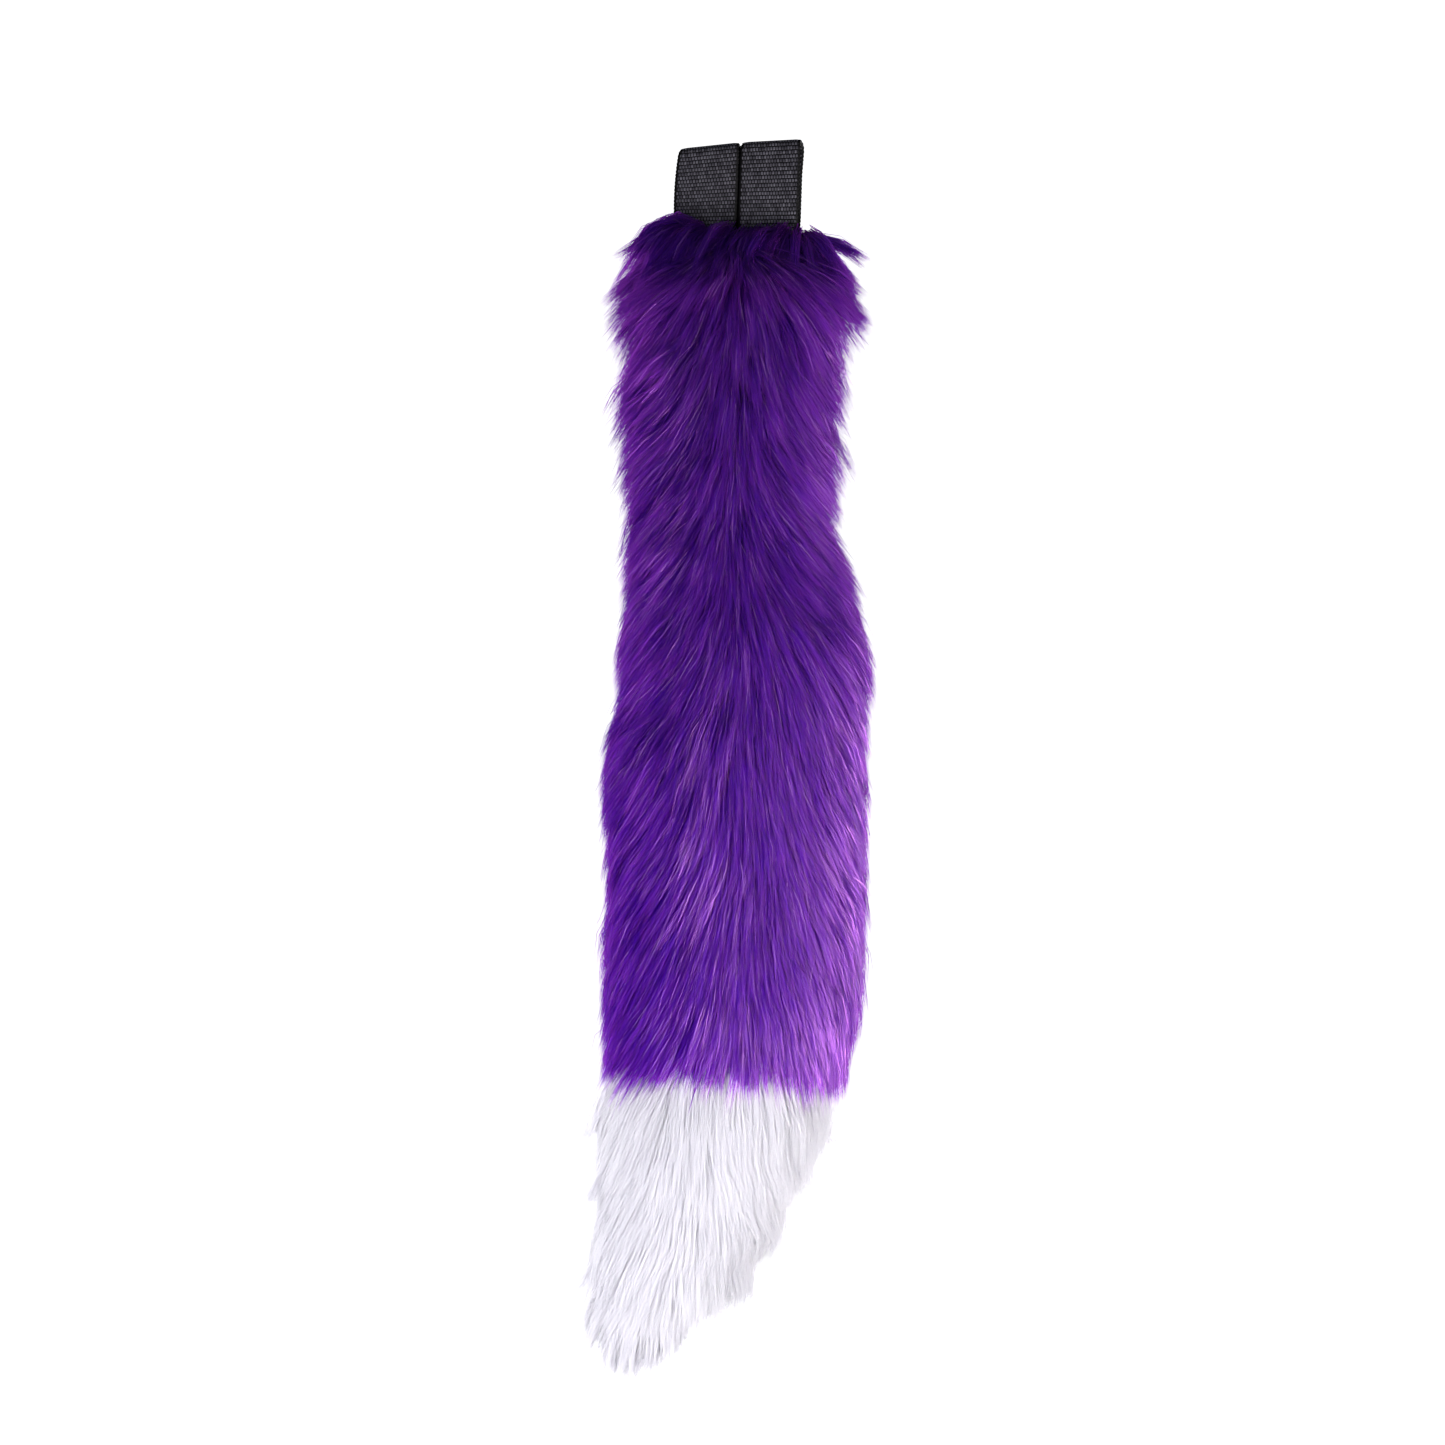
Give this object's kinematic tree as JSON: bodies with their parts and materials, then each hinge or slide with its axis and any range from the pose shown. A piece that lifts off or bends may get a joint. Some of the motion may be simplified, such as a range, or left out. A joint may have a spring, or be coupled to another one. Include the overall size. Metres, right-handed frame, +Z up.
{
  "type": "costume animal tail",
  "caption": "Stuffed long-pile costume tail with a pale tip, hung from a belt by two folded webbing loops.",
  "frame": {"origin": "belt line: the inside top of the two loops' folds, midway between the loops", "axes": "+Z up along the hanging tail, +X to the right in the picture, +Y towards the wearer, away from the display side"},
  "size_m": [0.122, 0.0895, 0.5204],
  "materials": {
    "purple_pile": "long straight acrylic pile, soft satin sheen",
    "white_pile": "long straight acrylic pile, soft and matt",
    "black_webbing": "ribbed woven nylon webbing, dull sheen"
  },
  "bodies": {
    "root": {"fur_body": "purple_pile", "fur_tip": "white_pile", "belt_loop_left": "black_webbing", "belt_loop_right": "black_webbing"}
  },
  "joints": []
}
